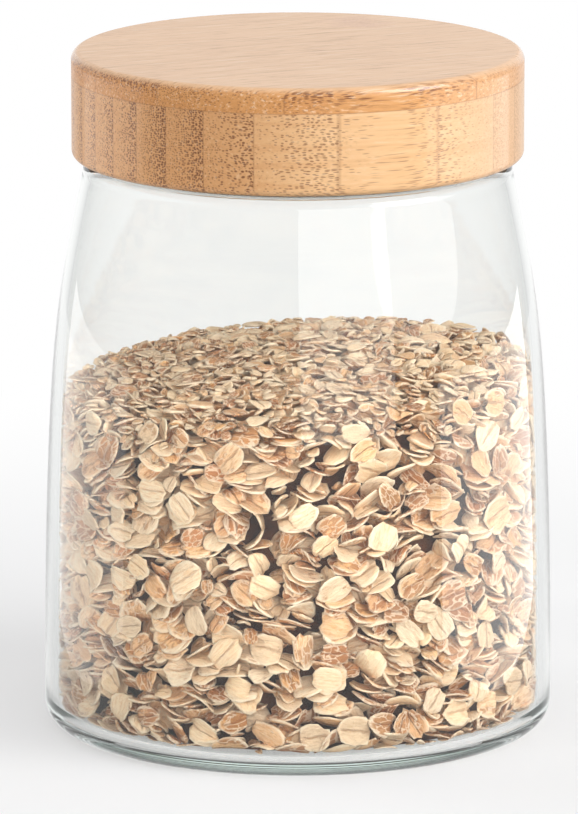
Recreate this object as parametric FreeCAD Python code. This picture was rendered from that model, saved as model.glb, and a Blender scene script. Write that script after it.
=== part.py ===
"""Food canister: a glass jar with a laminated bamboo screw lid, holding rolled oats.

The origin is at the middle of the jar's foot, +Z up. The strips of the lid run along X.
All sizes are in millimetres.
"""

import FreeCAD, Part

import math
import os

from FreeCAD import Vector

# ---- Driving dimensions ------------------------------------------------------------------

# Jar wall: radii of the outside at four heights, and the glass behind them
body_radius = 62.3
heel_height = 8.0
waist_height = 70.0
waist_inset = 1.25
bend_height = 110.0
bend_inset = 4.8
ledge_height = 139.3
lower_wall = 3.0
upper_wall = 2.2

# Foot of the jar
floor_thickness = 2.7
push_up_depth = 0.8
push_up_radius = 46.0
push_up_flat_ratio = 0.85
heel_fillet = 5.5
inside_heel_fillet = 4.0

# Ledge and neck
neck_radius = 46.0
neck_wall = 3.0
neck_height = 17.1
ledge_width = 6.3
ledge_fillet = 2.0
neck_fillet = 1.2
rim_fillet = 1.4

# Screw thread, single start, right-hand, on the neck and in the liner
thread_pitch = 6.0
thread_turns = 1.1
thread_depth = 1.4
thread_root = 2.6
thread_crest = 1.2
thread_start = 6.2
thread_sink = 0.4
thread_side_gap = 0.45
thread_follow = 2.15

# Liner and seal
liner_gap = 0.4
liner_wall = 1.8
liner_roof = 1.8
liner_lip = 0.5
liner_fillet = 0.5
seal_thickness = 2.0
seal_overlap = 1.4
seal_fillet = 0.4
seal_gap = 0.3

# Lid
lid_wall = 5.3
glue_gap = 0.1
lid_gap = 1.5
top_board = 6.0
top_fillet = 2.2
bottom_fillet = 1.8
bore_fillet = 0.6
cut_margin = 1.0

# Strips of the lid's two boards: how many, how wide the board is glued up against the
# round that is cut from it, and how far its middle lies to the front, in strips
top_strip_count = 6
top_board_ratio = 1.222
top_shift_ratio = 0.192
edge_strip_count = 15
edge_board_ratio = 1.125
edge_shift_ratio = 0.0

# Oats
oat_gap = 0.3
oat_height = 91.5
oat_crown_radius = 400.0
oat_crown_x = 26.0
oat_crown_y = -4.0
flake_pitch = 11.0
flake_radius = 4.2
flake_relief = 4.0
flake_sink = 2.0
flake_lean = 0.35

# ---- Sizes that follow -------------------------------------------------------------------

ledge_radius = neck_radius + ledge_width
neck_bore = neck_radius - neck_wall
rim_height = ledge_height + neck_height
inner_floor = push_up_depth + floor_thickness
liner_radius = neck_radius + thread_depth + liner_gap + liner_wall
bore_radius = liner_radius + glue_gap
lid_radius = bore_radius + lid_wall
lid_bottom = ledge_height + lid_gap
seal_bottom = rim_height + seal_gap
roof_height = seal_bottom + seal_thickness + seal_gap
board_seam = roof_height + liner_roof
lid_top = board_seam + top_board


# ---- Helpers -----------------------------------------------------------------------------

def point(r, z):
    return Vector(r, 0, z)


def line(a, b):
    return Part.LineSegment(point(*a), point(*b)).toShape()


def fair_curve(points):
    """Smooth curve through the points that leaves the first one straight up."""
    curve = Part.BSplineCurve()
    curve.interpolate(
        Points=[point(*p) for p in points],
        InitialTangent=Vector(0, 0, 1),
        FinalTangent=point(*points[-1]) - point(*points[-2]),
    )
    return curve.toShape()


def soft_corner(start, corner, end):
    """Curve from start to end that heads for the corner at both ends."""
    curve = Part.BezierCurve()
    curve.setPoles([point(*start), point(*corner), point(*end)])
    return curve.toShape()


def quarter(start, end, centre):
    """Quarter circle about a centre, the short way from start to end."""
    a = math.atan2(start[1] - centre[1], start[0] - centre[0])
    b = math.atan2(end[1] - centre[1], end[0] - centre[0])
    turn = (b - a + math.pi) % (2 * math.pi) - math.pi
    middle = a + turn / 2
    radius = math.dist(start, centre)
    through = (centre[0] + radius * math.cos(middle), centre[1] + radius * math.sin(middle))
    return Part.Arc(point(*start), point(*through), point(*end)).toShape()


def rounded(corners):
    """Closed wire through (r, z, fillet) corners, each rounded with its own fillet."""
    ways = []
    count = len(corners)
    for i, (r, z, fillet) in enumerate(corners):
        here = point(r, z)
        back = point(*corners[i - 1][:2]) - here
        ahead = point(*corners[(i + 1) % count][:2]) - here
        if fillet == 0:
            ways.append((here, None, here))
            continue
        half = back.getAngle(ahead) / 2
        back.normalize()
        ahead.normalize()
        reach = fillet / math.tan(half)
        inward = back + ahead
        inward.normalize()
        middle = here + inward * (fillet / math.sin(half) - fillet)
        ways.append((here + back * reach, middle, here + ahead * reach))
    edges = []
    for i, (enter, middle, leave) in enumerate(ways):
        if middle is not None:
            edges.append(Part.Arc(enter, middle, leave).toShape())
        after = ways[(i + 1) % count][0]
        if leave.distanceToPoint(after) > 1e-6:
            edges.append(Part.LineSegment(leave, after).toShape())
    return Part.Wire(edges)


def turned(wire):
    """Solid of revolution of a closed wire about the Z axis."""
    return Part.Face(wire).revolve(Vector(0, 0, 0), Vector(0, 0, 1), 360)


def export(name, shape):
    solids = shape.Solids
    if len(solids) != 1 or not shape.isValid():
        raise ValueError(f"{name}: {len(solids)} solids, valid {shape.isValid()}")
    solids[0].exportStep(f"parts/{name}.step")
    print(f"{name}: {solids[0].Volume / 1000:.1f} cm3")


# ---- Jar ---------------------------------------------------------------------------------

def wall_points(inset_low, inset_high, low, high):
    """Points of the jar's wall, set in from the outside by the glass or a clearance."""
    stations = [
        (low, body_radius),
        (waist_height, body_radius - waist_inset),
        (bend_height, body_radius - bend_inset),
        (high, ledge_radius),
    ]
    points = []
    for z, radius in stations:
        share = (z - low) / (high - low)
        inset = inset_low + (inset_high - inset_low) * share
        points.append((radius - inset, z))
    return points


def outside_wall():
    """Points of the outside of the wall, from the heel to the ledge's corner."""
    return wall_points(0, 0, heel_height, ledge_height - ledge_fillet)


def inside_wall():
    """Points of the inside of the wall, from the floor's corner to the shoulder."""
    low = inner_floor + inside_heel_fillet
    high = ledge_height - ledge_fillet - upper_wall
    return wall_points(lower_wall, upper_wall, low, high)


def outside_edges():
    """Foot, heel, wall and ledge, from the push-up to the root of the neck."""
    wall = outside_wall()
    foot = (body_radius - heel_fillet, 0)
    heel = (body_radius, heel_fillet)
    corner = (ledge_radius - ledge_fillet, ledge_height)
    root = (neck_radius + neck_fillet, ledge_height)
    return [
        line((push_up_radius, 0), foot),
        quarter(foot, heel, (foot[0], heel[1])),
        line(heel, wall[0]),
        fair_curve(wall),
        quarter(wall[-1], corner, (corner[0], wall[-1][1])),
        line(corner, root),
    ]


def neck_edges():
    """Outside of the neck, its rounded rim and its bore."""
    root = (neck_radius + neck_fillet, ledge_height)
    low = (neck_radius, ledge_height + neck_fillet)
    high = (neck_radius, rim_height - rim_fillet)
    rim_outside = (neck_radius - rim_fillet, rim_height)
    rim_inside = (neck_bore + rim_fillet, rim_height)
    bore_top = (neck_bore, rim_height - rim_fillet)
    bore_low = (neck_bore, ledge_height + neck_fillet)
    return [
        quarter(root, low, (root[0], low[1])),
        line(low, high),
        quarter(high, rim_outside, (rim_outside[0], high[1])),
        line(rim_outside, rim_inside),
        quarter(rim_inside, bore_top, (rim_inside[0], bore_top[1])),
        line(bore_top, bore_low),
    ]


def inside_edges():
    """Throat, shoulder, wall and floor of the inside, and the push-up under the foot."""
    wall = inside_wall()
    under = ledge_height - upper_wall
    bore_low = (neck_bore, ledge_height + neck_fillet)
    throat = (neck_bore + upper_wall, under)
    shoulder = (wall[-1][0] - ledge_fillet, under)
    floor_end = (wall[0][0] - inside_heel_fillet, inner_floor)
    dome = (push_up_radius * push_up_flat_ratio, push_up_depth)
    return [
        soft_corner(bore_low, (neck_bore, under), throat),
        line(throat, shoulder),
        soft_corner(shoulder, (wall[-1][0], under), wall[-1]),
        fair_curve(wall),
        quarter(wall[0], floor_end, (floor_end[0], wall[0][1])),
        line(floor_end, (0, inner_floor)),
        line((0, inner_floor), (0, push_up_depth)),
        line((0, push_up_depth), dome),
        soft_corner(dome, (push_up_radius, push_up_depth), (push_up_radius, 0)),
    ]


def thread_ridge(root_radius, crest_radius, start_height):
    """Helical ridge with rounded ends, sunk a little into the wall that carries it."""
    outward = 1 if crest_radius > root_radius else -1
    sunk = root_radius - outward * thread_sink
    slope = (thread_root - thread_crest) / 2 / abs(crest_radius - root_radius)
    half_sunk = thread_root / 2 + slope * thread_sink
    half_crest = thread_crest / 2
    lower = [point(sunk, -half_sunk), point(crest_radius, -half_crest)]
    upper = [point(crest_radius, half_crest), point(sunk, half_sunk)]
    section = Part.makePolygon(lower + upper + lower[:1])
    half_section = Part.makePolygon([point(sunk, 0), point(crest_radius, 0)] + upper + [point(sunk, 0)])

    helix = Part.makeHelix(thread_pitch, thread_pitch * thread_turns, (sunk + crest_radius) / 2)
    ridge = Part.Wire(helix.Edges).makePipeShell([section], True, True)
    for turns in (0, thread_turns):
        end = Part.Face(half_section).revolve(Vector(0, 0, 0), Vector(1, 0, 0), 360)
        end.rotate(Vector(0, 0, 0), Vector(0, 0, 1), 360 * turns)
        end.translate(Vector(0, 0, thread_pitch * turns))
        ridge = ridge.fuse(end)
    ridge.translate(Vector(0, 0, start_height))
    return ridge


def glass_jar():
    edges = outside_edges() + neck_edges() + inside_edges()
    blank = turned(Part.Wire(Part.__sortEdges__(edges)))
    ridge = thread_ridge(neck_radius, neck_radius + thread_depth, ledge_height + thread_start)
    return blank.fuse(ridge).removeSplitter()


# ---- Oats --------------------------------------------------------------------------------

def oat_column(depth):
    """Room of the jar filled up to the crown, less a depth from the wall and the crown."""
    wall = [(r - oat_gap - depth, z) for r, z in inside_wall()]
    floor = inner_floor + oat_gap
    floor_end = (wall[0][0] - inside_heel_fillet + oat_gap, floor)
    top = wall[-1]
    edges = [
        line((0, floor), floor_end),
        quarter(floor_end, wall[0], (floor_end[0], wall[0][1])),
        fair_curve(wall),
        line(top, (0, top[1])),
        line((0, top[1]), (0, floor)),
    ]
    column = turned(Part.Wire(Part.__sortEdges__(edges)))
    centre = Vector(oat_crown_x, oat_crown_y, oat_height - oat_crown_radius)
    return column.common(Part.makeSphere(oat_crown_radius - depth, centre))


def flake_stub(root, outward, index):
    """Round flake that leans its own way out of the heap, the root sunk into it."""
    across = Vector(-outward.y, outward.x, outward.z)
    along = outward.cross(across)
    lean = outward + across * (flake_lean * math.sin(2.4 * index))
    lean += along * (flake_lean * math.cos(1.7 * index))
    reach = flake_relief * (0.85 + 0.25 * math.sin(4.1 * index))
    return Part.makeCylinder(flake_radius, flake_sink + reach, root - outward * flake_sink, lean)


def side_flakes():
    """Staggered rings of flakes against the glass."""
    wall = inside_wall()
    radius = wall[1][0] - oat_gap - flake_relief
    count = int(2 * math.pi * radius / flake_pitch)
    low = wall[0][1] + flake_radius / 2
    rows = int((oat_height - flake_pitch - low) / flake_pitch) + 1
    stubs = []
    for row in range(rows):
        for k in range(count):
            angle = 2 * math.pi * (k + row / 2) / count
            outward = Vector(math.cos(angle), math.sin(angle), 0)
            root = outward * radius + Vector(0, 0, low + row * flake_pitch)
            stubs.append(flake_stub(root, outward, len(stubs)))
    return stubs


def top_flakes():
    """Rings of flakes on the crown."""
    centre = Vector(oat_crown_x, oat_crown_y, oat_height - oat_crown_radius)
    outer = inside_wall()[1][0] - flake_pitch
    stubs = []
    for ring in range(int(outer / flake_pitch) + 1):
        count = max(1, int(2 * math.pi * ring))
        for k in range(count):
            angle = 2 * math.pi * k / count
            distance = ring * flake_pitch
            place = Vector(distance * math.cos(angle), distance * math.sin(angle), oat_height)
            outward = (place - centre).normalize()
            root = centre + outward * (oat_crown_radius - flake_relief)
            stubs.append(flake_stub(root, outward, len(stubs)))
    return stubs


def oat_fill():
    """Heap with a gently sloping, crowned top and its larger flakes standing out of it."""
    flakes = Part.makeCompound(side_flakes() + top_flakes())
    fill = oat_column(flake_relief).fuse(flakes).common(oat_column(0))
    return fill.Solids[0]


# ---- Liner and seal ----------------------------------------------------------------------

def threaded_liner():
    """Cup glued into the bore of the lid, open downwards, with the thread inside."""
    inside = liner_radius - liner_wall
    low = lid_bottom + liner_lip
    section = rounded([
        (0, roof_height, 0),
        (inside, roof_height, liner_fillet),
        (inside, low, liner_fillet),
        (liner_radius, low, 0),
        (liner_radius, board_seam, 0),
        (0, board_seam, 0),
    ])
    crest = neck_radius + thread_side_gap
    ridge = thread_ridge(inside, crest, ledge_height + thread_start - thread_follow)
    return turned(section).fuse(ridge).removeSplitter()


def seal_ring():
    inside = neck_bore - seal_overlap
    outside = neck_radius + seal_overlap
    top = seal_bottom + seal_thickness
    return turned(rounded([
        (inside, seal_bottom, seal_fillet),
        (outside, seal_bottom, seal_fillet),
        (outside, top, seal_fillet),
        (inside, top, seal_fillet),
    ]))


# ---- Lid ---------------------------------------------------------------------------------

def seams(count, oversize, shift):
    """Y places of the glue lines across the lid, edges of the lid included."""
    width = 2 * lid_radius * oversize / count
    lines = [(k - count / 2 - shift) * width for k in range(1, count)]
    return [-lid_radius] + [y for y in lines if abs(y) < lid_radius] + [lid_radius]


def strips(board, places):
    """The board cut at its glue lines: one list of solids for each strip, front to back."""
    cut = []
    length = 2 * (lid_radius + cut_margin)
    height = lid_top - lid_bottom + 2 * cut_margin
    for low, high in zip(places, places[1:]):
        corner = Vector(-lid_radius - cut_margin, low, lid_bottom - cut_margin)
        pieces = board.common(Part.makeBox(length, high - low, height, corner)).Solids
        pieces.sort(key=lambda piece: piece.CenterOfMass.x)
        cut.append(pieces)
    return cut


def top_board_blank():
    return turned(rounded([
        (0, board_seam, 0),
        (lid_radius, board_seam, 0),
        (lid_radius, lid_top, top_fillet),
        (0, lid_top, 0),
    ]))


def edge_board_blank():
    return turned(rounded([
        (bore_radius, board_seam, 0),
        (bore_radius, lid_bottom, bore_fillet),
        (lid_radius, lid_bottom, bottom_fillet),
        (lid_radius, board_seam, 0),
    ]))


def lid_strips():
    flat = strips(top_board_blank(), seams(top_strip_count, top_board_ratio, top_shift_ratio))
    for number, pieces in enumerate(flat, 1):
        export(f"top_strip_{number}", pieces[0])
    upright = strips(edge_board_blank(), seams(edge_strip_count, edge_board_ratio, edge_shift_ratio))
    for number, pieces in enumerate(upright, 1):
        sides = [""] if len(pieces) == 1 else ["_left", "_right"]
        for side, piece in zip(sides, pieces):
            export(f"edge_strip_{number:02d}{side}", piece)


def main():
    os.makedirs("parts", exist_ok=True)
    export("glass_jar", glass_jar())
    export("oat_fill", oat_fill())
    export("threaded_liner", threaded_liner())
    export("seal_ring", seal_ring())
    lid_strips()


main()
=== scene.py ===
"""Looks of the food canister: a glass jar of rolled oats with a laminated bamboo lid.

Everything is in metres, in the frame of the CAD part: the origin is under the middle of
the foot, +Z up, and the grain of the lid runs along X. Only the oats are worked out in
millimetres first.
"""

import math

import bpy
import numpy as np
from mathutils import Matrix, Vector

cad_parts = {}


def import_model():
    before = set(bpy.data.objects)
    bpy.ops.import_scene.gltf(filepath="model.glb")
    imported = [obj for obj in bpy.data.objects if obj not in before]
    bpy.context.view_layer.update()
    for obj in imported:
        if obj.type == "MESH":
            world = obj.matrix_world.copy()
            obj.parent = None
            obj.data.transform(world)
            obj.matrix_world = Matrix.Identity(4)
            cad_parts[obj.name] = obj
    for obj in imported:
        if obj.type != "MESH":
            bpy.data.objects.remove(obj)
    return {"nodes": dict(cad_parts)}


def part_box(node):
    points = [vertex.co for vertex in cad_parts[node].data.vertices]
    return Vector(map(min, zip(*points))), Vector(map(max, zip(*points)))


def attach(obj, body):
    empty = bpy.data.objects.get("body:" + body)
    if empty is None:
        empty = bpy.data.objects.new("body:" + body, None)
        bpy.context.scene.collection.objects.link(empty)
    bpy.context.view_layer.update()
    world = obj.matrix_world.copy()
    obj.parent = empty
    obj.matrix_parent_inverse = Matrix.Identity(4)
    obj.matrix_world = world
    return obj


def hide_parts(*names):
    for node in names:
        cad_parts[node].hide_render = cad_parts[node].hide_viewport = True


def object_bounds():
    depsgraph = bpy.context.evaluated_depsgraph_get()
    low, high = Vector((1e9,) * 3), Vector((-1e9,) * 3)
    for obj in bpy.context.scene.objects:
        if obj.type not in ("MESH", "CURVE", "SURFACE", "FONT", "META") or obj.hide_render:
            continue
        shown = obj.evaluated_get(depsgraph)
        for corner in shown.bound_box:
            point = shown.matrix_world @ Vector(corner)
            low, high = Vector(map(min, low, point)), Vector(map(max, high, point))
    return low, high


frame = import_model()
cad_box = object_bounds()

MM = 0.001

# ---- Sizes read from the frame -----------------------------------------------------------

jar_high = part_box("glass_jar")[1]
lid_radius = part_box("top_strip_3")[1].x
board_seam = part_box("edge_strip_08_left")[1].z
lid_top = cad_box[1].z
rim_height = jar_high.z

# ---- Sizes of the jar that the boxes don't give ------------------------------------------

body_radius = jar_high.x
heel_height = 8.0 * MM
waist_height = 70.0 * MM
waist_inset = 1.25 * MM
bend_height = 110.0 * MM
bend_inset = 4.8 * MM
ledge_height = 139.3 * MM
ledge_radius = 52.3 * MM
lower_wall = 3.0 * MM
upper_wall = 2.2 * MM
shoulder_wall = 1.2 * MM    # thinner than the CAD part's, which renders as a dark band
push_up_depth = 0.8 * MM
push_up_radius = 46.0 * MM
oat_clearance = 0.3 * MM
inner_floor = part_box("oat_fill")[0].z - oat_clearance
heel_fillet = 5.5 * MM
inside_heel_fillet = 4.0 * MM
neck_radius = 46.0 * MM
neck_bore = 43.0 * MM
ledge_fillet = 2.0 * MM
neck_fillet = 1.2 * MM
rim_fillet = 1.4 * MM
thread_pitch = 6.0 * MM
thread_turns = 1.1
thread_depth = 1.4 * MM
thread_root = 2.6 * MM
thread_crest = 1.2 * MM
thread_start = 6.2 * MM

# Crown of the oats in millimetres: a large sphere whose top stands off the jar's axis
oat_crown = Vector((26.0, -4.0, 91.5))
oat_crown_radius = 400.0


# ---- Meshes ------------------------------------------------------------------------------

def new_object(name, verts, faces):
    """Smooth-shaded mesh object in the scene."""
    mesh = bpy.data.meshes.new(name)
    mesh.from_pydata([tuple(v) for v in verts], [], faces)
    mesh.validate()
    mesh.polygons.foreach_set("use_smooth", [True] * len(mesh.polygons))
    obj = bpy.data.objects.new(name, mesh)
    bpy.context.scene.collection.objects.link(obj)
    return obj


def clamped_spline(zs, rs):
    """Smooth radius over height: level with the axis at the first point, straight at the last."""
    zs = np.array(zs)
    rs = np.array(rs)
    gaps = np.diff(zs)
    slopes = np.diff(rs) / gaps
    count = len(zs)
    matrix = np.zeros((count, count))
    right = np.zeros(count)
    matrix[0, 0] = 1
    matrix[-1, -1] = 1
    right[-1] = slopes[-1]
    for i in range(1, count - 1):
        matrix[i, i - 1] = gaps[i]
        matrix[i, i] = 2 * (gaps[i - 1] + gaps[i])
        matrix[i, i + 1] = gaps[i - 1]
        right[i] = 3 * (gaps[i] * slopes[i - 1] + gaps[i - 1] * slopes[i])
    tangents = np.linalg.solve(matrix, right)

    def radius(z):
        z = np.asarray(z, float)
        k = np.clip(np.searchsorted(zs, z) - 1, 0, count - 2)
        t = (z - zs[k]) / gaps[k]
        h00 = (1 + 2 * t) * (1 - t) ** 2
        h10 = t * (1 - t) ** 2
        h01 = t * t * (3 - 2 * t)
        h11 = t * t * (t - 1)
        return (
            h00 * rs[k] + h10 * gaps[k] * tangents[k]
            + h01 * rs[k + 1] + h11 * gaps[k] * tangents[k + 1]
        )

    return radius


def wall(inset_low, inset_high, low, high):
    """Radius over height of the jar's side, moved in by an inset that changes evenly."""
    heights = [low, waist_height, bend_height, high]
    radii = [body_radius, body_radius - waist_inset, body_radius - bend_inset, ledge_radius]
    insets = [inset_low + (inset_high - inset_low) * (z - low) / (high - low) for z in heights]
    return clamped_spline(heights, [r - i for r, i in zip(radii, insets)])


outside_low = heel_height
outside_high = ledge_height - ledge_fillet
outside_radius = wall(0, 0, outside_low, outside_high)
inside_low = inner_floor + inside_heel_fillet
inside_high = ledge_height - ledge_fillet - shoulder_wall
inside_radius = wall(lower_wall, upper_wall, inside_low, inside_high)


def quarter(centre, radius, start, end, steps):
    """Points on a round corner, from start to end in degrees."""
    angles = np.radians(np.linspace(start, end, steps))
    return [(centre[0] + radius * math.cos(a), centre[1] + radius * math.sin(a)) for a in angles]


def soft_corner(start, corner, end, steps):
    """Points on a curve from start to end that is drawn towards the corner."""
    points = []
    for t in np.linspace(0, 1, steps):
        first, second, third = (1 - t) ** 2, 2 * t * (1 - t), t * t
        points.append(tuple(
            first * a + second * b + third * c for a, b, c in zip(start, corner, end)
        ))
    return points


def jar_profile():
    """(radius, height) points down the middle, round the outside and back down the inside."""
    foot = body_radius - heel_fillet
    under = ledge_height - shoulder_wall
    shoulder = float(inside_radius(inside_high))
    outside = [(float(outside_radius(z)), z) for z in np.linspace(outside_low, outside_high, 64)]
    inside = [(float(inside_radius(z)), z) for z in np.linspace(inside_high, inside_low, 64)]
    dome_edge = (push_up_radius * 0.85, push_up_depth)
    points = [(0, push_up_depth), (push_up_radius * 0.45, push_up_depth)]
    points += soft_corner(dome_edge, (push_up_radius, push_up_depth), (push_up_radius, 0), 7)
    points += [((push_up_radius + foot) / 2, 0)]
    points += quarter((foot, heel_fillet), heel_fillet, -90, 0, 14)
    points += outside
    points += quarter((ledge_radius - ledge_fillet, outside_high), ledge_fillet, 0, 90, 9)[1:]
    low = ledge_height + neck_fillet
    points += quarter((neck_radius + neck_fillet, low), neck_fillet, 270, 180, 6)
    high = rim_height - rim_fillet
    points += [(neck_radius, z) for z in np.linspace(low, high, 46)[1:-1]]
    points += quarter((neck_radius - rim_fillet, high), rim_fillet, 0, 90, 7)
    points += quarter((neck_bore + rim_fillet, high), rim_fillet, 90, 180, 7)
    points += [(neck_bore, z) for z in np.linspace(high, low, 8)[1:-1]]
    points += soft_corner((neck_bore, low), (neck_bore, under), (neck_bore + upper_wall, under), 7)
    points += soft_corner((shoulder - ledge_fillet, under), (shoulder, under), inside[0], 7)[:-1]
    points += inside
    corner = (inside[-1][0] - inside_heel_fillet, inside_low)
    points += quarter(corner, inside_heel_fillet, 0, -90, 14)[1:]
    points += [(corner[0] * share, inner_floor) for share in (0.75, 0.5, 0.25)]
    points += [(0, inner_floor)]
    return points


def thread_height(angle, z):
    """How far the screw ridge stands out of the neck at an angle (0 to 2 pi) and height."""
    rise = 0.0
    turn = angle / (2 * math.pi)
    fade = 8 / 360
    for lap in (0, 1):
        along = turn + lap
        if along > thread_turns:
            continue
        end = min(1.0, along / fade, (thread_turns - along) / fade)
        away = abs(z - (ledge_height + thread_start + thread_pitch * along))
        side = (thread_root / 2 - away) / (thread_root / 2 - thread_crest / 2)
        side = min(1.0, max(0.0, side))
        rise = max(rise, thread_depth * side * side * (3 - 2 * side) * math.sqrt(max(0.0, end)))
    return rise


def ring(radius, height, segments):
    """Points round the axis; radius and height may be functions of the angle and of x and y."""
    points = []
    for k in range(segments):
        angle = 2 * math.pi * k / segments
        reach = radius(angle) if callable(radius) else radius
        x, y = reach * math.cos(angle), reach * math.sin(angle)
        points.append((x, y, height(x, y) if callable(height) else height))
    return points


def turned_faces(rows, segments):
    """Faces over a first pole, rows of rings and a last pole."""
    faces = []
    last = 1 + rows * segments
    for k in range(segments):
        after = (k + 1) % segments
        faces.append((0, 1 + after, 1 + k))
        faces.append((last, last - segments + k, last - segments + after))
        for row in range(rows - 1):
            a = 1 + row * segments
            b = a + segments
            faces.append((a + k, a + after, b + after, b + k))
    return faces


def lathe(name, profile, segments, bump):
    """Turned mesh whose profile starts and ends on the axis; bump lifts the neck's outside."""
    verts = [(0, 0, profile[0][1])]
    for r, z in profile[1:-1]:
        on_neck = abs(r - neck_radius) < 1e-6
        verts += ring((lambda angle: r + bump(angle, z)) if on_neck else r, z, segments)
    verts.append((0, 0, profile[-1][1]))
    return new_object(name, verts, turned_faces(len(profile) - 2, segments))


# ---- Node graphs -------------------------------------------------------------------------

class Graph:
    """Short calls for building the nodes of a material or a world."""

    def __init__(self, owner, output="ShaderNodeOutputMaterial"):
        self.owner = owner
        owner.use_nodes = True
        self.nodes = owner.node_tree.nodes
        self.links = owner.node_tree.links
        self.nodes.clear()
        self.output = self.nodes.new(output)

    def node(self, kind, inputs=None, **settings):
        made = self.nodes.new(kind)
        for key, value in settings.items():
            setattr(made, key, value)
        for key, value in (inputs or {}).items():
            self.plug(made.inputs[key], value)
        return made

    def plug(self, socket, value):
        if isinstance(value, bpy.types.NodeSocket):
            self.links.new(value, socket)
        else:
            socket.default_value = value

    def math(self, operation, a, b=0.0, clamp=False):
        settings = {"operation": operation, "use_clamp": clamp}
        return self.node("ShaderNodeMath", {0: a, 1: b}, **settings).outputs[0]

    def plus(self, a, b, clamp=False):
        return self.math("ADD", a, b, clamp=clamp)

    def minus(self, a, b, clamp=False):
        return self.math("SUBTRACT", a, b, clamp=clamp)

    def times(self, a, b, clamp=False):
        return self.math("MULTIPLY", a, b, clamp=clamp)

    def ramp(self, value, low, high, to_low=0.0, to_high=1.0):
        """Smooth step from to_low at low to to_high at high."""
        settings = {
            "Value": value, "From Min": low, "From Max": high, "To Min": to_low, "To Max": to_high,
        }
        made = self.node("ShaderNodeMapRange", settings, interpolation_type="SMOOTHSTEP")
        return made.outputs["Result"]

    def mix(self, factor, a, b):
        """Mix of two colours, each 8-bit sRGB or a socket."""
        a, b = (colour(side) if isinstance(side, tuple) else side for side in (a, b))
        return self.node("ShaderNodeMix", {0: factor, 6: a, 7: b}, data_type="RGBA").outputs[2]

    def mix_shader(self, factor, a, b):
        inputs = {0: factor, 1: a.outputs[0], 2: b.outputs[0]}
        return self.node("ShaderNodeMixShader", inputs).outputs[0]

    def noise(self, vector, scale, detail=2.0, roughness=0.5):
        settings = {"Vector": vector, "Scale": scale, "Detail": detail, "Roughness": roughness}
        return self.node("ShaderNodeTexNoise", settings).outputs["Fac"]

    def combine(self, x, y, z):
        return self.node("ShaderNodeCombineXYZ", {0: x, 1: y, 2: z}).outputs[0]

    def separate(self, vector):
        made = self.node("ShaderNodeSeparateXYZ", {"Vector": vector})
        return made.outputs[0], made.outputs[1], made.outputs[2]

    def coordinates(self, kind="Object"):
        return self.node("ShaderNodeTexCoord").outputs[kind]

    def finish(self, shader, volume=None):
        self.links.new(shader, self.output.inputs["Surface"])
        if volume is not None:
            self.links.new(volume, self.output.inputs["Volume"])
        return self.owner


def material_graph(name):
    return Graph(bpy.data.materials.new(name))


def linear(value):
    """Linear part of an 8-bit sRGB one."""
    value = value / 255
    return value / 12.92 if value <= 0.04045 else ((value + 0.055) / 1.055) ** 2.4


def colour(rgb):
    """Linear colour of an 8-bit sRGB one."""
    return (linear(rgb[0]), linear(rgb[1]), linear(rgb[2]), 1.0)


# ---- Materials ---------------------------------------------------------------------------

CRACK_COLOUR = (252, 232, 204)
FLOUR_COLOUR = (252, 234, 206)


def glass_material():
    """Clear glass, green in its depth, that lets light through its shadow."""
    g = material_graph("clear_glass")
    seeds = g.noise(g.coordinates(), 90.0, 2.0)
    bump = g.node("ShaderNodeBump", {"Height": seeds, "Strength": 0.02, "Distance": 0.0002})
    tint = g.mix(g.noise(g.coordinates(), 25.0), (251, 252, 251), (255, 255, 254))
    shader = g.node("ShaderNodeBsdfPrincipled", {
        "Base Color": tint, "Roughness": 0.0, "IOR": 1.5, "Transmission Weight": 1.0,
        "Normal": bump.outputs[0],
    })
    clear = g.node("ShaderNodeBsdfTransparent", {"Color": (0.985, 0.99, 0.987, 1)})
    shadow = g.node("ShaderNodeLightPath").outputs["Is Shadow Ray"]
    absorb = g.node("ShaderNodeVolumeAbsorption", {"Color": (0.68, 0.86, 0.82, 1), "Density": 7.0})
    return g.finish(g.mix_shader(shadow, shader, clear), absorb.outputs[0])


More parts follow.
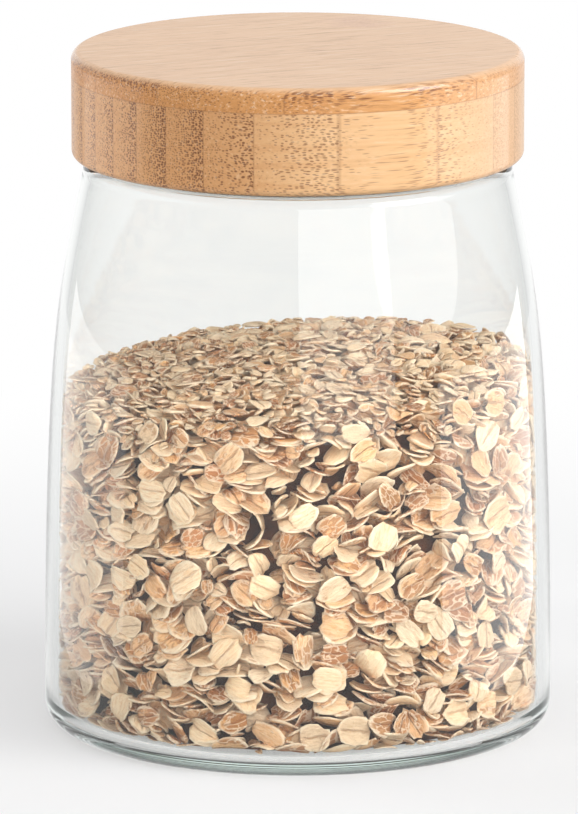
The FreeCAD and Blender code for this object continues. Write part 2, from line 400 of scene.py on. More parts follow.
def bamboo_material(name, strip_width, first_seam, gradient_up, look):
    """Glued bamboo strips along X, with fibre bundles that show as dots on end grain.

    Widths and seams are in millimetres, and so is every length in here.
    """
    g = material_graph(name)
    x, y, z = (g.times(axis, 1 / MM) for axis in g.separate(g.coordinates()))
    along = g.math("DIVIDE", g.minus(y, first_seam), strip_width)
    strip = g.math("FLOOR", along)
    across = g.math("FRACT", along)
    which = {"W": g.plus(strip, look["seed"])}
    tone_node = g.node("ShaderNodeTexWhiteNoise", which, noise_dimensions="1D")
    tone, shift = tone_node.outputs["Value"], tone_node.outputs["Color"]
    if not gradient_up:
        # The strips at the lid's far sides in Y are pale, all those between them dark
        darker = g.ramp(g.math("ABSOLUTE", y), 38.0, 56.0, 0.8, 0.0)
        tone = g.plus(g.times(tone, 0.2), darker)
    shift_x, shift_y, _ = g.separate(shift)

    # Fibre bundles: round in the YZ section, wandering slowly along X
    slow = g.combine(g.times(x, 0.035), g.times(y, 0.12), g.times(z, 0.12))
    wander = g.node("ShaderNodeTexNoise", {"Vector": slow, "Scale": 1.0, "Detail": 2.0})
    wander_y, wander_z, _ = g.separate(wander.outputs["Color"])
    section_y = g.plus(y, g.times(wander_y, 3.0))
    section_z = g.plus(z, g.times(wander_z, 3.0))
    section_y = g.plus(section_y, g.times(shift_x, 40.0))
    section_z = g.plus(section_z, g.times(shift_y, 40.0))
    section = g.combine(section_y, section_z, g.times(x, 0.02))
    bundles = g.node("ShaderNodeTexVoronoi", {
        "Vector": section, "Scale": look["bundle_scale"], "Randomness": 0.7,
    })
    distance = bundles.outputs["Distance"]
    cell_value = g.separate(bundles.outputs["Color"])[0]

    # The outer side of each strip has more and darker bundles
    if gradient_up:
        depth = g.ramp(z, board_seam / MM, lid_top / MM)
    else:
        depth = g.minus(1.0, across)
    depth = g.times(depth, g.ramp(tone, 0.0, 0.7, 0.35, 1.0))
    size = g.plus(0.38, g.times(depth, 0.28))
    dot = g.minus(1.0, g.ramp(g.math("DIVIDE", distance, size), 0.45, 1.0))
    dot = g.times(dot, g.plus(0.85, g.times(cell_value, 0.3)))
    dot = g.times(dot, g.plus(0.5, g.times(depth, 0.6)), clamp=True)
    # Painted light: the bundles fade towards +X, the side that the key lamp lights
    dot = g.times(dot, g.ramp(x, 4.0, 34.0, 1.0, 0.3))

    # Fine long streaks and slow clouds
    streak_vector = g.combine(g.times(x, 0.05), section_y, section_z)
    streaks = g.noise(streak_vector, 1.6, 4.0, 0.65)
    clouds = g.noise(g.combine(g.times(x, 0.02), g.times(y, 0.12), z), 0.6, 2.0)

    normal_x, _, normal_z = g.separate(g.coordinates("Normal"))
    end_grain = g.ramp(g.math("ABSOLUTE", normal_x), 0.05, 0.75)
    face_up = g.ramp(normal_z, 0.35, 0.98)

    base = g.mix(tone, look["light"], look["dark"])
    base = g.mix(g.ramp(clouds, 0.35, 0.7, 0.0, 0.45), base, look["warm"])
    # Painted light: paler towards +X, where the key lamp washes over the lid
    base = g.mix(g.ramp(x, 8.0, 54.0, 0.0, look["fade"]), base, look["pale"])
    base = g.mix(g.times(end_grain, look["end_mix"]), base, look["end"])
    base = g.mix(g.times(face_up, look["top_mix"]), base, look["top"])
    fibre_side = g.times(dot, g.ramp(face_up, 0.0, 1.0, look["dot_side"], look["dot_top"]))
    base = g.mix(fibre_side, base, look["fibre"])
    base = g.mix(g.ramp(streaks, 0.52, 0.8, 0.0, look["streak"]), base, look["fibre"])
    base = g.mix(g.ramp(streaks, 0.25, 0.48, look["streak"], 0.0), base, look["pale"])

    # Glue lines
    edge = g.times(g.math("MINIMUM", across, g.minus(1.0, across)), strip_width)
    glue = g.ramp(edge, 0.04, 0.2, look["glue"], 0.0)
    base = g.mix(glue, base, look["fibre"])
    seam = g.math("ABSOLUTE", g.minus(z, board_seam / MM))
    base = g.mix(g.ramp(seam, 0.05, 0.25, 0.3, 0.0), base, look["fibre"])
    if look.get("node"):
        base = growth_node(g, base, x, y, look)

    height = g.minus(g.times(streaks, 0.35), g.times(dot, 0.8))
    height = g.minus(height, glue)
    bump = g.node("ShaderNodeBump", {"Height": height, "Strength": 0.35, "Distance": 0.00012})
    rough = g.plus(0.44, g.times(streaks, 0.16))
    rounded = g.times(g.ramp(normal_z, 0.1, 0.4), g.ramp(normal_z, 0.8, 0.97, 1.0, 0.0))
    shader = g.node("ShaderNodeBsdfPrincipled", {
        "Base Color": base, "Roughness": rough, "Coat Roughness": 0.14, "Coat IOR": 1.62,
        "Coat Weight": g.plus(0.42, g.times(rounded, 0.58)),
        "Normal": bump.outputs[0],
    })
    return g.finish(shader.outputs[0])


def growth_node(g, base, x, y, look):
    """Irregular pinkish band where the stem's joint crossed one strip."""
    centre_x, centre_y = look["node"]
    wobble = g.noise(g.combine(g.times(x, 0.2), g.times(y, 0.25), 0.0), 1.0, 3.0, 0.6)
    away_x = g.minus(x, g.plus(centre_x, g.times(wobble, 14.0)))
    away_y = g.minus(y, centre_y)
    band = g.ramp(g.math("ABSOLUTE", away_x), 1.0, 9.0, 1.0, 0.0)
    band = g.times(band, g.ramp(g.math("ABSOLUTE", away_y), 6.0, 10.5, 1.0, 0.0))
    speckle = g.noise(g.combine(x, y, 0.0), 1.3, 3.0, 0.7)
    band = g.times(band, g.ramp(speckle, 0.4, 0.62, 0.25, 1.0))
    return g.mix(g.times(band, 0.6), base, look["node_colour"])


def oat_material(name, tones):
    """Rolled oat flakes: floury face, brown bran in patches, a crease down the middle.

    tones holds two face colours, one for its grain and two for the bran.
    """
    g = material_graph(name)
    local = g.node("ShaderNodeAttribute", attribute_name="flake")
    u, v, seed = g.separate(local.outputs["Vector"])
    tint = g.node("ShaderNodeAttribute", attribute_name="tint")
    pick, bran, side = g.separate(tint.outputs["Vector"])
    far = g.times(seed, 57.0)
    plane = g.combine(u, v, far)
    ripple = g.combine(g.times(u, 0.45), g.times(v, 1.6), far)

    base = g.mix(pick, tones[0], tones[1])
    grain = g.noise(ripple, 4.5, 4.0, 0.65)
    base = g.mix(g.ramp(grain, 0.4, 0.66, 0.0, 0.75), base, tones[2])

    # Bran: brown patches broken by pale cracks
    cloud = g.noise(plane, 1.15, 3.0, 0.6)
    threshold = g.minus(0.82, g.times(bran, 0.55))
    patch = g.ramp(g.minus(cloud, threshold), -0.03, 0.05)
    warped = g.noise(plane, 2.2, 2.0)
    place = g.combine(g.plus(g.times(u, 0.75), warped), v, far)
    cracks = {"Vector": place, "Scale": 1.8}
    cracks = g.node("ShaderNodeTexVoronoi", cracks, feature="DISTANCE_TO_EDGE")
    crack = g.ramp(cracks.outputs["Distance"], 0.02, 0.11, 1.0, 0.0)
    brown = g.mix(g.noise(ripple, 9.0, 3.0), tones[3], tones[4])
    base = g.mix(g.times(patch, 0.7), base, brown)
    crack_here = g.times(crack, g.ramp(patch, 0.0, 1.0, 0.12, 0.6))
    base = g.mix(crack_here, base, CRACK_COLOUR)

    # Crease and floury rim
    off = g.plus(v, g.times(g.minus(warped, 0.5), 0.3))
    crease = g.ramp(g.math("ABSOLUTE", off), 0.015, 0.13, 1.0, 0.0)
    crease = g.times(crease, g.ramp(g.math("ABSOLUTE", u), 0.55, 0.85, 1.0, 0.0))
    crease = g.times(crease, side)
    base = g.mix(g.times(crease, 0.5), base, tones[4])
    rho = g.math("SQRT", g.plus(g.times(u, u), g.times(v, v)))
    rim = g.ramp(rho, 0.76, 0.97, 0.0, 1.0)
    rim = g.times(rim, g.ramp(grain, 0.35, 0.6, 0.45, 1.0))
    base = g.mix(g.times(rim, 0.8), base, FLOUR_COLOUR)

    height = g.minus(g.times(grain, 0.5), g.times(crease, 0.9))
    height = g.plus(height, g.times(crack, 0.35))
    bump = g.node("ShaderNodeBump", {"Height": height, "Strength": 0.8, "Distance": 0.0003})
    shader = g.node("ShaderNodeBsdfPrincipled", {
        "Base Color": base, "Roughness": g.plus(0.62, g.times(grain, 0.25)),
        "Specular IOR Level": 0.3, "Normal": bump.outputs[0],
    })
    return g.finish(shader.outputs[0])


def painted_shade_core_material():
    """Painted shade: dark browns that stand for the shade between and behind the flakes."""
    g = material_graph("oat_depth_painted_shade")
    spread = g.noise(g.coordinates(), 260.0, 4.0, 0.65)
    # Painted shade: these dark browns stand for the shadow in the gaps between the flakes
    base = g.mix(g.ramp(spread, 0.35, 0.65), (60, 28, 8), (96, 50, 18))
    shader = g.node("ShaderNodeBsdfPrincipled", {"Base Color": base, "Roughness": 0.9})
    return g.finish(shader.outputs[0])


def plastic_material():
    g = material_graph("liner_white")
    mottle = g.noise(g.coordinates(), 700.0, 3.0, 0.6)
    flow = g.noise(g.coordinates(), 45.0, 2.0)
    base = g.mix(flow, (243, 243, 240), (249, 249, 247))
    bump = g.node("ShaderNodeBump", {"Height": mottle, "Strength": 0.12, "Distance": 0.0001})
    shader = g.node("ShaderNodeBsdfPrincipled", {
        "Base Color": base, "Roughness": g.ramp(mottle, 0.3, 0.7, 0.32, 0.44),
        "Normal": bump.outputs[0],
    })
    return g.finish(shader.outputs[0])


def silicone_material():
    g = material_graph("seal_frosted")
    mottle = g.noise(g.coordinates(), 900.0, 3.0, 0.6)
    base = g.mix(g.noise(g.coordinates(), 60.0, 2.0), (222, 222, 216), (233, 233, 229))
    bump = g.node("ShaderNodeBump", {"Height": mottle, "Strength": 0.2, "Distance": 0.0001})
    shader = g.node("ShaderNodeBsdfPrincipled", {
        "Base Color": base, "Roughness": g.ramp(mottle, 0.3, 0.7, 0.5, 0.62),
        "Normal": bump.outputs[0],
    })
    return g.finish(shader.outputs[0])


# ---- Oats --------------------------------------------------------------------------------

# Lengths in this section are in millimetres.
CELL = 0.5              # of the height map and of the map of the glass
FIELD = 62.0            # half width of the height map
GLASS_GAP = 0.35        # between flakes and glass
FLOOR_GAP = 0.3         # between flakes and floor
MID_HEIGHT = 40.0       # where the radius of the core is taken
CORE_DEPTH = 7.5        # of the core behind the flakes
GAP_DEPTH = 4.0         # from which a gap behind the glass is closed
PATIENCE = 60           # flakes in a row without a place before the pouring ends
RIM = 16                # points round a flake

# Mean, spread, least and most
HALF_LENGTH = (4.25, 0.55, 3.0, 5.6)
WIDTH_SHARE = (0.72, 0.08, 0.5, 0.95)
THICKNESS = (0.66, 0.13, 0.42, 0.95)
BROKEN_SHARE = 0.36
BROKEN_HALF_LENGTH = (1.3, 2.9)
BEND_SPREAD = (0.2, 0.15, 0.2)
FOLD = (0.13, 0.13)


def inner_radius(z):
    """Radius of the room for oats at a height."""
    z = np.asarray(z, float)
    low = inside_low / MM
    fillet = inside_heel_fillet / MM
    straight = inside_radius(np.clip(z, low, inside_high / MM) * MM) / MM
    drop = np.clip((low - z) / fillet, 0, 1)
    corner = straight - fillet * (1 - np.sqrt(1 - drop ** 2))
    return np.where(z < low, corner, straight) - GLASS_GAP


def heap_top(x, y):
    """Height of the crown of the oats over a place."""
    away = (x - oat_crown.x) ** 2 + (y - oat_crown.y) ** 2
    return oat_crown.z - oat_crown_radius + np.sqrt(oat_crown_radius ** 2 - away)


def unit(vectors):
    """Rows scaled to length 1."""
    return vectors / np.linalg.norm(vectors, axis=1, keepdims=True)


class Heap:
    """Flakes dropped one by one on a height map, each into the best of a few places."""

    def __init__(self, seed):
        self.random = np.random.default_rng(seed)
        side = int(2 * FIELD / CELL)
        ticks = (np.arange(side) + 0.5) * CELL - FIELD
        self.x, self.y = np.meshgrid(ticks, ticks, indexing="ij")
        radius = np.hypot(self.x, self.y)
        fillet = inside_heel_fillet / MM
        start = inner_radius(inside_low / MM) - fillet
        lift = np.clip((radius - start) / fillet, 0, 0.999)
        floor = inner_floor / MM + FLOOR_GAP + fillet * (1 - np.sqrt(1 - lift ** 2))
        core = heap_top(self.x, self.y) - CORE_DEPTH
        self.height = np.where(radius < self.core_radius(), core, floor)
        self.flakes = []
        self.u, self.v = disc_points(0.25)

    def core_radius(self):
        return inner_radius(MID_HEIGHT) - CORE_DEPTH

    def cell(self, x, y):
        limit = self.height.shape[0] - 1
        i = np.clip(((x + FIELD) / CELL).astype(int), 0, limit)
        j = np.clip(((y + FIELD) / CELL).astype(int), 0, limit)
        return i, j

    def draw(self, mean, spread, least, most):
        return np.clip(self.random.normal(mean, spread), least, most)

    def new_flake(self, kind):
        """A flake without a place: half length, half width, thickness, bend and fold."""
        r = self.random
        if r.random() < BROKEN_SHARE and kind != "wall":
            length = r.uniform(*BROKEN_HALF_LENGTH)
        else:
            length = self.draw(*HALF_LENGTH)
        width = length * self.draw(*WIDTH_SHARE)
        size = (length, width, self.draw(*THICKNESS))
        bend = r.normal(0.0, BEND_SPREAD)
        return {"size": size, "bend": bend, "fold": max(0.0, r.normal(*FOLD))}

    def frames(self, normal, spin):
        """Two axes in the plane of each normal, turned by spin."""
        helper = np.where(np.abs(normal[:, 2:3]) < 0.9, [[0, 0, 1.0]], [[1.0, 0, 0]])
        a = unit(np.cross(helper, normal))
        b = np.cross(normal, a)
        c, s = np.cos(spin)[:, None], np.sin(spin)[:, None]
        return a * c + b * s, b * c - a * s

    def drift(self, x, y, z):
        """Slowly changing lean, which neighbouring flakes share."""
        lean_x = 0.24 * np.sin(x / 8.5 + z / 13.0 + 0.7) + 0.18 * np.sin(y / 5.9 - z / 9.0)
        lean_y = 0.24 * np.sin(y / 8.1 - z / 11.0 + 2.1) + 0.18 * np.sin(x / 6.3 + z / 8.0 + 1.0)
        return lean_x, lean_y

    def resting(self, x, y):
        """Normals that follow the ground and the drift around each place, with some play."""
        reach = 2.6
        here = []
        for dx, dy in ((reach, 0), (-reach, 0), (0, reach), (0, -reach)):
            here.append(self.height[self.cell(x + dx, y + dy)])
        slope_x = np.clip((here[0] - here[1]) / (2 * reach), -1.0, 1.0)
        slope_y = np.clip((here[2] - here[3]) / (2 * reach), -1.0, 1.0)
        lean_x, lean_y = self.drift(x, y, self.height[self.cell(x, y)])
        wild = self.random.normal(0, 0.26, (len(x), 2))
        normal = np.stack([
            lean_x - 0.5 * slope_x + wild[:, 0],
            lean_y - 0.5 * slope_y + wild[:, 1],
            np.ones(len(x)),
        ], 1)
        return unit(normal)

    def against_glass(self, angle):
        """Normals of flakes that lie flat against the glass, leaning a little."""
        lean = self.random.normal(0.0, 0.18, (len(angle), 2))
        c, s = np.cos(angle), np.sin(angle)
        normal = np.stack([c - s * lean[:, 0], s + c * lean[:, 0], lean[:, 1]], 1)
        return unit(normal)

    def drop(self, kind, tries, inner, outer, ceiling):
        """Lays one flake in the best of some places between two radii, under a ceiling.

        kind is "settled", "wall" or "wild". Returns False where the flake fits nowhere.
        """
        r = self.random
        flake = self.new_flake(kind)
        length, width, thick = flake["size"]
        angle = r.random(tries) * 2 * math.pi
        distance = np.sqrt(r.uniform(inner ** 2, outer ** 2, tries))
        if kind == "wall":
            distance[:] = outer
        x = distance * np.cos(angle)
        y = distance * np.sin(angle)
        if kind == "settled":
            normal = self.resting(x, y)
        elif kind == "wall":
            normal = self.against_glass(angle)
        else:
            normal = unit(r.normal(0, 1, (tries, 3)) * [[1, 1, 0.7]])
        long_axis, wide_axis = self.frames(normal, r.random(tries) * 2 * math.pi)
        lift = curl(self.u, self.v, flake)
        points = (
            long_axis[:, None, :] * (self.u * length)[None, :, None]
            + wide_axis[:, None, :] * (self.v * width)[None, :, None]
            + normal[:, None, :] * lift[None, :, None]
        )

        # Slide inwards until the flake is clear of the glass
        room = inner_radius(self.height[self.cell(x, y)] + 2.0)
        reach = np.hypot(points[..., 0] + x[:, None], points[..., 1] + y[:, None]).max(1)
        push = reach - room + (thick / 2 if kind == "wall" else 0)
        if kind != "wall":
            push = np.clip(push, 0, None)
        x = x - np.cos(angle) * push
        y = y - np.sin(angle) * push

        # Drop each try on the ground, and keep the lowest that leaves little room below
        half = normal[:, None, :] * thick / 2
        skin = np.concatenate([points - half, points + half], 1)
        i, j = self.cell(skin[..., 0] + x[:, None], skin[..., 1] + y[:, None])
        ground = self.height[i, j]
        base = (ground - skin[..., 2]).max(1) + 0.01
        void = (base[:, None] + skin[..., 2] - ground).mean(1)
        score = base + 0.6 * void
        top = base + skin[..., 2].max(1)
        score = np.where(top > ceiling(x, y), np.inf, score)
        best = int(np.argmin(score))
        if not np.isfinite(score[best]):
            return False
        np.maximum.at(self.height, (i[best], j[best]), base[best] + skin[best, :, 2])
        flake["centre"] = np.array([x[best], y[best], base[best]])
        flake["axes"] = (long_axis[best], wide_axis[best], normal[best])
        self.flakes.append(flake)
        return True


class GlassMap:
    """How deep behind the glass the first flake lies, over angle and height."""

    unseen = 20.0           # depth where no flake has been met
    top = 110               # height of the map
    margin = 2.5            # at the floor and at the heap's top, where gaps may stay
    tries = 10              # flakes tried for a gap
    trial = 2.0             # depth at which a flake is tried, before it is moved
    deepest = 5.0           # a gap is left open where its flake would lie deeper

    def __init__(self, flakes):
        self.columns = int(2 * math.pi * inner_radius(MID_HEIGHT) / CELL)
        self.rows = int(self.top / CELL)
        self.depth = np.full((self.columns, self.rows), self.unseen)
        for flake in flakes:
            self.add(flake)

    def cell(self, x, y, z):
        turn = np.arctan2(y, x) / (2 * math.pi) % 1.0
        i = np.clip((turn * self.columns).astype(int), 0, self.columns - 1)
        return i, np.clip((z / CELL).astype(int), 0, self.rows - 1)

    def surface(self, flake):
        """Points over both sides of a flake, relative to its centre."""
        length, width, thick = flake["size"]
        long_axis, wide_axis, normal = flake["axes"]
        lift = curl(FINE_U, FINE_V, flake)
        middle = (
            long_axis * (FINE_U * length)[:, None]
            + wide_axis * (FINE_V * width)[:, None]
            + normal * lift[:, None]
        )
        return np.concatenate([middle - normal * thick / 2, middle + normal * thick / 2])

    def add(self, flake):
        points = self.surface(flake) + flake["centre"]
        x, y, z = points.T
        depth = inner_radius(z) - np.hypot(x, y)
        np.minimum.at(self.depth, self.cell(x, y, z), depth)

    def gaps(self):
        """Cells between the floor and the top of the heap where nothing is near the glass."""
        i, k = np.nonzero(self.depth > GAP_DEPTH)
        angle = (i + 0.5) / self.columns * 2 * math.pi
        z = (k + 0.5) * CELL
        radius = inner_radius(z)
        top = heap_top(radius * np.cos(angle), radius * np.sin(angle))
        open_here = (z > inner_floor / MM + self.margin) & (z < top - self.margin)
        return i[open_here], k[open_here]

    def close(self, heap, column, row):
        """Tucks one flake into a gap, behind the flakes around it."""
        r = heap.random
        angle = (column + 0.5) / self.columns * 2 * math.pi
        z = (row + 0.5) * CELL
        best = None
        for _ in range(self.tries):
            flake = heap.new_flake("wall")
            lean = r.normal(0.0, 0.6, 2)
            outward = np.array([math.cos(angle), math.sin(angle), 0.0])
            normal = outward + np.array([-math.sin(angle), math.cos(angle), 0.0]) * lean[0]
            normal[2] = lean[1]
            normal = normal / np.linalg.norm(normal) * r.choice((-1, 1))
            long_axis, wide_axis = heap.frames(normal[None, :], r.random(1) * 2 * math.pi)
            flake["axes"] = (long_axis[0], wide_axis[0], normal)
            shape = self.surface(flake)
            place = outward * (inner_radius(z) - self.trial) + np.array([0.0, 0.0, z])
            x, y, height = (shape + place).T
            ahead = inner_radius(height) - np.hypot(x, y) - self.trial
            here = self.depth[self.cell(x, y, height)]
            need = np.where(here > GAP_DEPTH, 0.3, here + 0.9) - ahead
            sunk = float(need.max())
            score = float((here > GAP_DEPTH).mean()) - 0.12 * sunk
            if best is None or score > best[0]:
                best = (score, sunk, flake, outward)
        _, sunk, flake, outward = best
        if sunk > self.deepest:
            self.depth[column, row] = GAP_DEPTH
            return
        flake["centre"] = outward * (inner_radius(z) - sunk) + np.array([0.0, 0.0, z])
        self.add(flake)
        self.depth[column, row] = min(self.depth[column, row], GAP_DEPTH)
        heap.flakes.append(flake)


def disc_points(step):
    """Points on a grid over the unit disc."""
    grid = np.arange(-1, 1.01, step)
    u, v = np.meshgrid(grid, grid)
    inside = np.hypot(u, v) <= 1.01
    return u[inside], v[inside]


FINE_U, FINE_V = disc_points(0.125)


def close_gaps(heap, rounds=40, at_once=120):
    """Adds flakes behind the glass until it shows no deep gap."""
    glass = GlassMap(heap.flakes)
    for _ in range(rounds):
        columns, rows = glass.gaps()
        if not len(columns):
            break
        for pick in heap.random.permutation(len(columns))[:at_once]:
            if glass.depth[columns[pick], rows[pick]] > GAP_DEPTH:
                glass.close(heap, columns[pick], rows[pick])


def curl(u, v, flake):
    """Height of a flake's bent and folded middle surface over its plane."""
    length, width, _ = flake["size"]
    bend, fold = flake["bend"], flake["fold"]
    bowed = bend[0] * u * u * length + bend[1] * v * v * width + bend[2] * u * v * length
    return bowed + fold * np.abs(v) * width


def pour(heap, tries, limits, inner, outer, ceiling):
    """Drops flakes until many in a row fit nowhere. The draw is under limits[0] for a wall
    flake, and under limits[1] for a wild one."""
    misses = 0
    while misses < PATIENCE:
        draw = heap.random.random()
        kind = "wall" if draw < limits[0] else "wild" if draw < limits[1] else "settled"
        laid = heap.drop(kind, tries, inner, outer, ceiling)
        misses = 0 if laid else misses + 1


def pour_oats():
    """The heap: first the ring that shows through the glass, up to a little below the crown,
    then the layers on top, then the flakes that close gaps."""
    heap = Heap(seed=7)
    inner = float(heap.core_radius())
    outer = float(inner_radius(30.0))

    def ring_ceiling(x, y):
        return heap_top(x, y) - 3.0

    def top_ceiling(x, y):
        return heap_top(x, y) + 1.2

    pour(heap, 40, (0.12, 0.2), inner + 1.5, outer, ring_ceiling)
    pour(heap, 26, (0.04, 0.14), 0.0, outer, top_ceiling)
    close_gaps(heap)
    return heap.flakes


def outline(r):
    """Directions and reaches round one flake: egg-shaped, ragged, notched at one end."""
    angles = np.arange(RIM) * 2 * math.pi / RIM
    angles = angles + r.normal(0, 0.05, RIM) * (np.abs(np.sin(angles)) > 0.01)
    reach = 1 + 0.08 * np.cos(angles) * r.uniform(-1, 1) + r.normal(0, 0.06, RIM)
    ends = np.abs(np.cos(angles)) > 0.75
    reach = reach - ends * r.uniform(0.0, 0.2, RIM)
    reach[0] -= r.uniform(0.0, 0.14)
    return angles, reach


def flake_mesh(flake, r):
    """Vertices and (u, v) of one flake: two faces that meet in a thin rim."""
    angles, reach = outline(r)
    length, width, thick = flake["size"]
    long_axis, wide_axis, normal = flake["axes"]
    c, s = np.cos(angles) * reach, np.sin(angles) * reach
    u, v, lift = [], [], []
    for side in (1, -1):
        u += [np.zeros(1), c * 0.58, c * 0.93]
        v += [np.zeros(1), s * 0.58, s * 0.93]
        lift += [np.full(1, side * 0.9), side + r.normal(0, 0.16, RIM), np.full(RIM, side * 0.75)]
    u = np.concatenate(u + [c])
    v = np.concatenate(v + [s])
    lift = np.concatenate(lift + [r.uniform(-0.3, 0.3, RIM)]) * thick / 2
    lift = lift + curl(u, v, flake)
    verts = (
        flake["centre"] + long_axis * (u * length)[:, None]
        + wide_axis * (v * width)[:, None] + normal * lift[:, None]
    )
    return verts, np.stack([u, v], 1)


def flake_faces():
    """Faces of the flake that flake_mesh makes."""
    per_side = 1 + 2 * RIM
    rim = 2 * per_side
    faces = []
    for side in (0, 1):
        start = side * per_side
        for k in range(RIM):
            after = (k + 1) % RIM
            inner = (start + 1 + k, start + 1 + after)
            outer = (start + 1 + RIM + k, start + 1 + RIM + after)
            band = [
                (start, inner[0], inner[1]),
                (inner[0], outer[0], outer[1], inner[1]),
                (outer[0], rim + k, rim + after, outer[1]),
            ]
            faces += band if side == 0 else [face[::-1] for face in band]
    return faces


# Two face colours, one for their grain and two for the bran
TONES = {
    "oat_flakes_cream": (
        (255, 232, 200), (248, 216, 174), (234, 190, 140), (212, 152, 98), (166, 104, 56),
    ),
    "oat_flakes_tan": (
        (246, 212, 170), (230, 180, 130), (212, 154, 102), (194, 130, 78), (148, 88, 44),
    ),
    "oat_flakes_bran": (
        (240, 200, 156), (212, 154, 104), (196, 134, 84), (176, 108, 60), (132, 74, 36),
    ),
    "oat_flakes_amber": (
        (243, 204, 156), (220, 162, 102), (202, 140, 80), (182, 116, 58), (138, 78, 36),
    ),
    "oat_flakes_grey": (
        (247, 222, 190), (232, 200, 162), (212, 176, 136), (188, 138, 94), (146, 94, 54),
    ),
}
BRAN = dict(zip(TONES, (0.2, 0.6, 1.0, 0.8, 0.4)))
SHARES = (0.26, 0.25, 0.18, 0.13, 0.18)


def oats():
    """One object per group of colours, with every flake a mesh island of its own."""
    r = np.random.default_rng(11)
    groups = {name: ([], [], [], []) for name in TONES}
    names = list(TONES)
    pattern = np.array([face if len(face) == 4 else face + (-1,) for face in flake_faces()])
    for flake in pour_oats():
        name = names[r.choice(len(names), p=SHARES)]
        verts, places, tints, faces = groups[name]
        points, local = flake_mesh(flake, r)
        radius = np.hypot(points[:, 0], points[:, 1])
        room = inner_radius(points[:, 2]) + 0.1
        points[:, :2] *= np.minimum(1, room / np.maximum(radius, 1e-6))[:, None]
        points[:, 2] = np.maximum(points[:, 2], inner_floor / MM + FLOOR_GAP)
        count = len(points)
        faces.append(np.where(pattern < 0, -1, pattern + count * len(verts)))
        verts.append(points * MM)
        places.append(np.column_stack([local, np.full(count, r.random())]))
        tint = (r.random(), BRAN[name] * r.uniform(0.5, 1.25), float(r.random() < 0.6))
        tints.append(np.tile(tint, (count, 1)))
    made = []
    for name, (verts, places, tints, faces) in groups.items():
        corners = np.concatenate(faces).tolist()
        corners = [tuple(face[:3] if face[3] < 0 else face) for face in corners]
        obj = new_object(name, np.concatenate(verts), corners)
        for label, values in (("flake", places), ("tint", tints)):
            layer = obj.data.attributes.new(label, "FLOAT_VECTOR", "POINT")
            layer.data.foreach_set("vector", np.concatenate(values).astype(np.float32).ravel())
        obj.data.materials.append(oat_material(name, TONES[name]))
        made.append(obj)
    return made


def oat_core():
    """Dark body deep in the heap, behind the flakes, coloured with painted shade for the deeper
    oats.
    """
    deep = CORE_DEPTH - 0.6
    radius = float(inner_radius(MID_HEIGHT)) - deep
    low = inner_floor / MM + 1.0
    segments = 96

    def high(x, y):
        return float(heap_top(x, y)) - deep

    verts = [(0, 0, low)]
    for share in (0.5, 1.0):
        verts += ring(share * radius, low, segments)
    for share in (1.0, 0.75, 0.4):
        verts += ring(share * radius, high, segments)
    verts.append((0, 0, high(0.0, 0.0)))
    obj = new_object("oat_core", np.array(verts) * MM, turned_faces(5, segments))
    obj.data.materials.append(painted_shade_core_material())
    return obj


# ---- Studio ------------------------------------------------------------------------------

CAMERA_AZIMUTH = math.radians(-23.7)
CAMERA_ELEVATION = math.radians(12.45)
CAMERA_DISTANCE = 1.964
CAMERA_AIM = Vector((0, 0, 0.080))
ROOM = (196, 197, 197)
WHITE = (1, 1, 1, 1)


def view_frame(right, back, up):
    """A place given to the right of, behind and above the origin as the camera sees it."""
    side = Vector((math.cos(CAMERA_AZIMUTH), math.sin(CAMERA_AZIMUTH), 0))
    away = Vector((-math.sin(CAMERA_AZIMUTH), math.cos(CAMERA_AZIMUTH), 0))
    return side * right + away * back + Vector((0, 0, up))


def aim(obj, target):
    """Turns a camera or a lamp towards a place."""
    direction = target - obj.location
    obj.rotation_euler = direction.to_track_quat("-Z", "Y").to_euler()


def camera():
    data = bpy.data.cameras.new("camera")
    data.lens = 354.8
    data.sensor_width = 36.0
    data.sensor_fit = "AUTO"
    data.shift_x = -0.0108
    data.shift_y = -0.0102
    data.clip_end = 20
    obj = bpy.data.objects.new("camera", data)
    flat = math.cos(CAMERA_ELEVATION) * CAMERA_DISTANCE
    obj.location = CAMERA_AIM + view_frame(0, -flat, math.sin(CAMERA_ELEVATION) * CAMERA_DISTANCE)
    bpy.context.scene.collection.objects.link(obj)
    aim(obj, CAMERA_AIM)
    bpy.context.scene.camera = obj


def softbox(name, place, target, size, power, diffuse=True, shape="RECTANGLE"):
    """Area lamp; one that isn't diffuse only shows as a reflection."""
    data = bpy.data.lights.new(name, "AREA")
    data.shape = shape
    data.size = size[0]
    if shape != "DISK":
        data.size_y = size[1]
    data.energy = power
    obj = bpy.data.objects.new(name, data)
    obj.location = place
    bpy.context.scene.collection.objects.link(obj)
    aim(obj, target)
    obj.visible_diffuse = diffuse
    obj.visible_camera = False
    obj.visible_transmission = diffuse
    return obj


def seen_ray(g):
    """1 for rays that show the backdrop: straight, reflected or through glass."""
    path = g.node("ShaderNodeLightPath")
    seen = g.plus(path.outputs["Is Camera Ray"], path.outputs["Is Glossy Ray"])
    seen = g.plus(seen, path.outputs["Is Transmission Ray"], clamp=True)
    return g.minus(seen, path.outputs["Diffuse Depth"], clamp=True)


def floor_material():
    """Pale floor with a shadow near the object, fading into the white backdrop."""
    g = material_graph("floor")
    seen = seen_ray(g)
    diffuse = g.node("ShaderNodeBsdfDiffuse", {"Color": (0.48, 0.48, 0.48, 1)})
    glow = g.node("ShaderNodeEmission", {"Color": WHITE, "Strength": g.times(seen, 0.42)})
    both = g.node("ShaderNodeAddShader", {0: diffuse.outputs[0], 1: glow.outputs[0]})
    white = g.node("ShaderNodeEmission", {"Color": WHITE, "Strength": 1.0})
    x, y, _ = g.separate(g.coordinates())
    away = g.math("SQRT", g.plus(g.times(x, x), g.times(y, y)))
    fade = g.ramp(away, 0.11, 0.38)
    return g.finish(g.mix_shader(g.times(fade, seen), both, white))


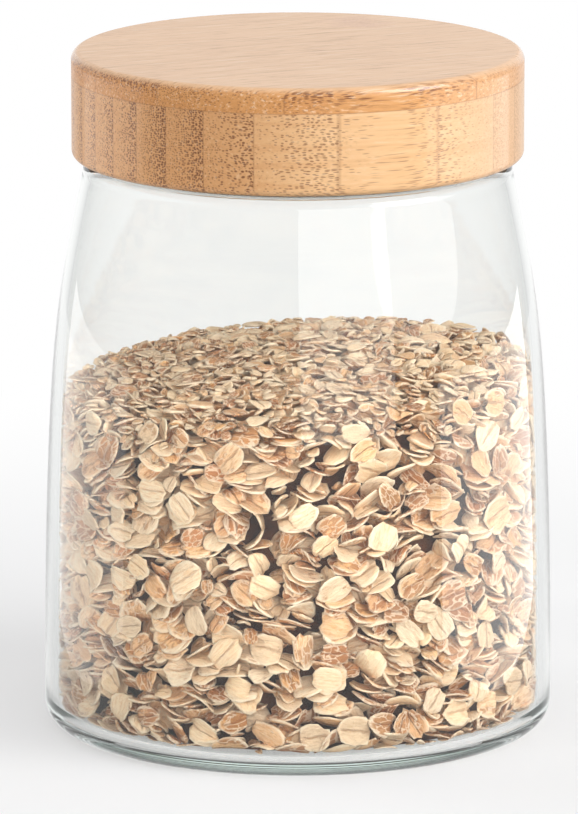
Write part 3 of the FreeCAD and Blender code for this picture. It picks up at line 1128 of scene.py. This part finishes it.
def floor():
    """Round sheet just under the foot."""
    rings, segments, reach = 6, 96, 0.7
    verts = [(0, 0, 0)]
    for row in range(1, rings + 1):
        verts += ring(reach * row / rings, 0, segments)
    faces = []
    for k in range(segments):
        after = (k + 1) % segments
        faces.append((0, 1 + k, 1 + after))
        for row in range(rings - 1):
            a = 1 + row * segments
            b = a + segments
            faces.append((a + k, b + k, b + after, a + after))
    obj = new_object("floor", verts, faces)
    obj.location.z = -0.0002
    obj.visible_glossy = False
    obj.data.materials.append(floor_material())


def world():
    """White backdrop behind the object, a greyer room in front of it, an even fill light."""
    made = bpy.data.worlds.new("studio")
    bpy.context.scene.world = made
    g = Graph(made, "ShaderNodeOutputWorld")
    fill = g.node("ShaderNodeBackground", {"Color": (0.60, 0.60, 0.61, 1), "Strength": 1.0})
    x, y, z = g.separate(g.coordinates("Generated"))
    away = view_frame(0, 1, 0)
    depth = g.plus(g.times(x, away.x), g.times(y, away.y))
    bright = g.math("MAXIMUM", g.ramp(depth, 0.78, 0.96), g.ramp(z, -0.25, -0.5))
    backdrop = g.mix(bright, ROOM, (255, 255, 255))
    white = g.node("ShaderNodeBackground", {"Color": backdrop, "Strength": 1.0})
    g.finish(g.mix_shader(seen_ray(g), fill, white))


def around(azimuth, distance, height):
    """A place at an azimuth from the camera's side of the object, positive to the right."""
    angle = math.radians(azimuth)
    return view_frame(distance * math.sin(angle), -distance * math.cos(angle), height)


def studio():
    """Camera, floor, backdrop and lamps."""
    camera()
    floor()
    world()
    middle = Vector((0, 0, 0.09))
    level = Vector((0, 0, -0.05))
    softbox("key", around(64, 1.006, 0.744), middle, size=(0.73, 0.73), power=7.6, shape="DISK")
    softbox(
        "glow", around(64, 1.16, 0.39), middle, size=(1.17, 0.6), power=3.2,
        diffuse=False, shape="ELLIPSE",
    )
    fill = softbox("fill", around(24, 1.6, 0.40), middle, size=(1.4, 1.2), power=12.8)
    rim = softbox("rim", around(-112, 1.0, 0.25), middle, size=(0.6, 0.6), power=5.2)
    oats_middle = Vector((0, 0, 0.06))
    low = softbox("low", around(-58, 0.9, 0.16), oats_middle, size=(0.14, 0.06), power=0.06)
    low.data.spread = math.radians(8)
    # These light the object, but their mirror images don't show
    for obj in (fill, rim, low):
        obj.visible_glossy = False
    for obj in (rim, low):
        obj.visible_transmission = False
    cards = {"left_card": (-109, 0.68, 0.5), "right_card": (99, 0.9, 1.4)}
    for name, (azimuth, width, power) in cards.items():
        place = around(azimuth, 0.7, -0.05)
        softbox(name, place, level, size=(width, 0.2), power=power, diffuse=False)
    # With the default limits, light caught in the thick heel goes black
    cycles = bpy.context.scene.cycles
    cycles.max_bounces = 24
    cycles.glossy_bounces = 20
    cycles.transmission_bounces = 20
    bpy.context.scene.view_settings.view_transform = "Standard"


# ---- Dressing the frame ------------------------------------------------------------------

def paint(node, material):
    """Gives a CAD node its finish."""
    data = frame["nodes"][node].data
    data.materials.clear()
    data.materials.append(material)


def lid():
    """Bamboo on the strips, white plastic on the liner, frosted silicone on the seal."""
    width = 2 * lid_radius / MM
    top_width = width * 1.222 / 6
    edge_width = width * 1.125 / 15
    # In each look, fade is how far painted light pales the lid towards +X, in the colour pale,
    # which also colours pale streaks
    top = bamboo_material("bamboo_top_board", top_width, -0.192 * top_width, True, {
        "seed": 3.0, "bundle_scale": 1.85, "fade": 0.6,
        "light": (224, 168, 106), "dark": (206, 146, 84), "warm": (198, 134, 70),
        "end": (200, 132, 64), "end_mix": 0.5, "top": (232, 188, 145), "top_mix": 0.92,
        "fibre": (124, 70, 28), "pale": (240, 210, 176), "dot_side": 1.0, "dot_top": 0.06,
        "streak": 0.75, "glue": 0.3, "node": (22.0, 29.0), "node_colour": (206, 154, 128),
    })
    edge = bamboo_material("bamboo_edge_board", edge_width, 0.5 * edge_width, False, {
        "seed": 11.0, "bundle_scale": 1.85, "fade": 0.75,
        "light": (230, 188, 138), "dark": (216, 160, 104), "warm": (208, 150, 94),
        "end": (200, 142, 86), "end_mix": 0.35, "top": (220, 180, 136), "top_mix": 0.3,
        "fibre": (126, 76, 38), "pale": (236, 206, 170), "dot_side": 1.0, "dot_top": 0.4,
        "streak": 0.35, "glue": 0.25,
    })
    for node in frame["nodes"]:
        if node.startswith("top_strip"):
            paint(node, top)
        if node.startswith("edge_strip"):
            paint(node, edge)
    paint("threaded_liner", plastic_material())
    paint("seal_ring", silicone_material())


def jar():
    """Glass, in place of the CAD part's solid."""
    obj = lathe("jar_glass", jar_profile(), 288, thread_height)
    obj.data.materials.append(glass_material())
    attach(obj, "jar")
    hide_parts("glass_jar")


def fill():
    """Flakes and core, in place of the CAD part's solid."""
    pieces = oats() + [oat_core()]
    for obj in pieces:
        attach(obj, "jar")
        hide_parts("oat_fill")


lid()
jar()
fill()
studio()
